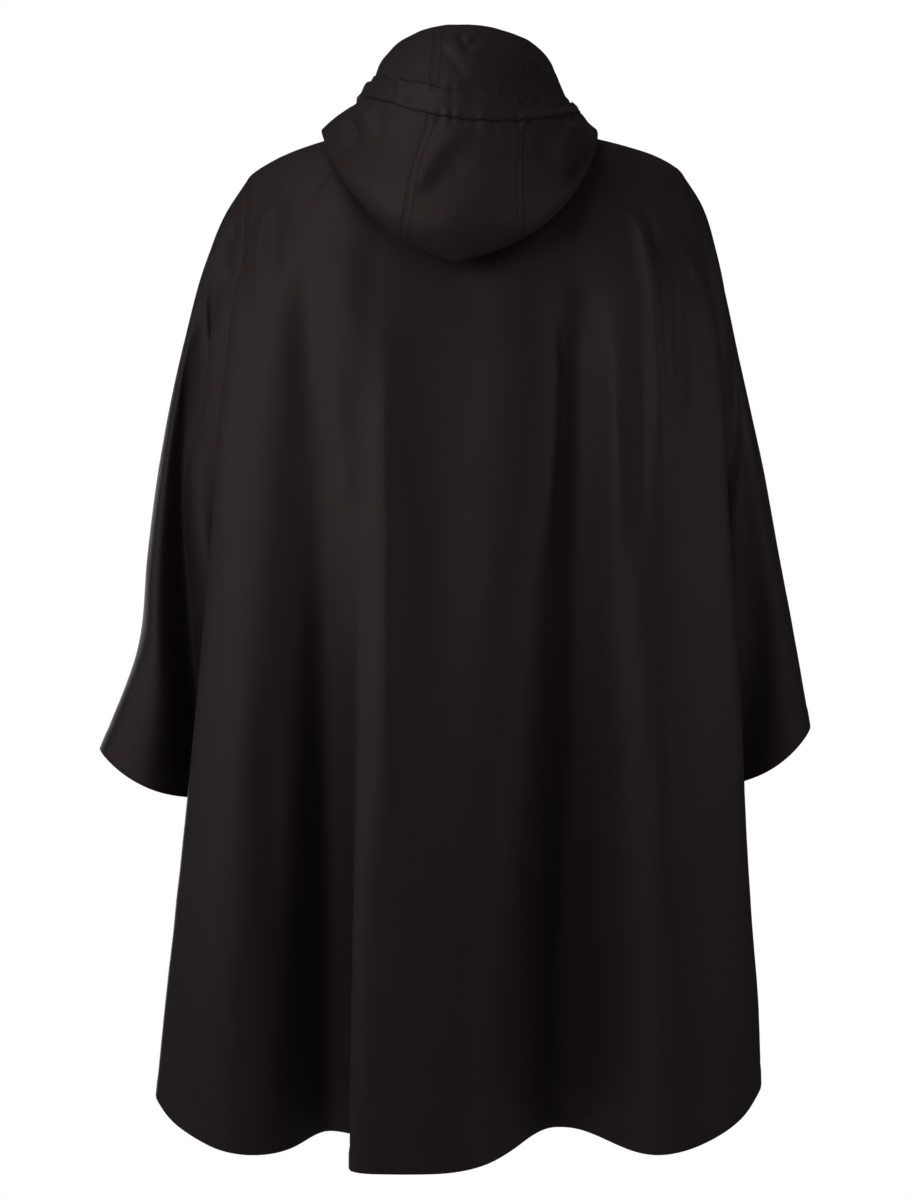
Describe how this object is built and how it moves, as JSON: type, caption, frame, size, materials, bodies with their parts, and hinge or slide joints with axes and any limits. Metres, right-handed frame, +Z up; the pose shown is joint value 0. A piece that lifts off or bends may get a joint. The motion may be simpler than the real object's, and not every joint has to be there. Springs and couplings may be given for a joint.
{
  "type": "rain poncho",
  "caption": "Hooded rain poncho with wide wing sleeves, filled out as worn with the hood lying down on the back",
  "frame": {"origin": "at the base of the neck, midway between the shoulders, where the garment hangs on its wearer", "axes": "+Z up, the wearer faces -Y, +X is the wearer's left"},
  "size_m": [0.7579, 0.4182, 1.1695],
  "materials": {
    "shell_cloth": "fine smooth weave, near black, soft satin sheen"
  },
  "bodies": {
    "root": {"back_panel": "shell_cloth", "front_panel": "shell_cloth", "sleeve_left": "shell_cloth", "sleeve_right": "shell_cloth", "hood_left": "shell_cloth", "hood_center": "shell_cloth", "hood_right": "shell_cloth", "hood_channel": "shell_cloth"}
  },
  "joints": []
}
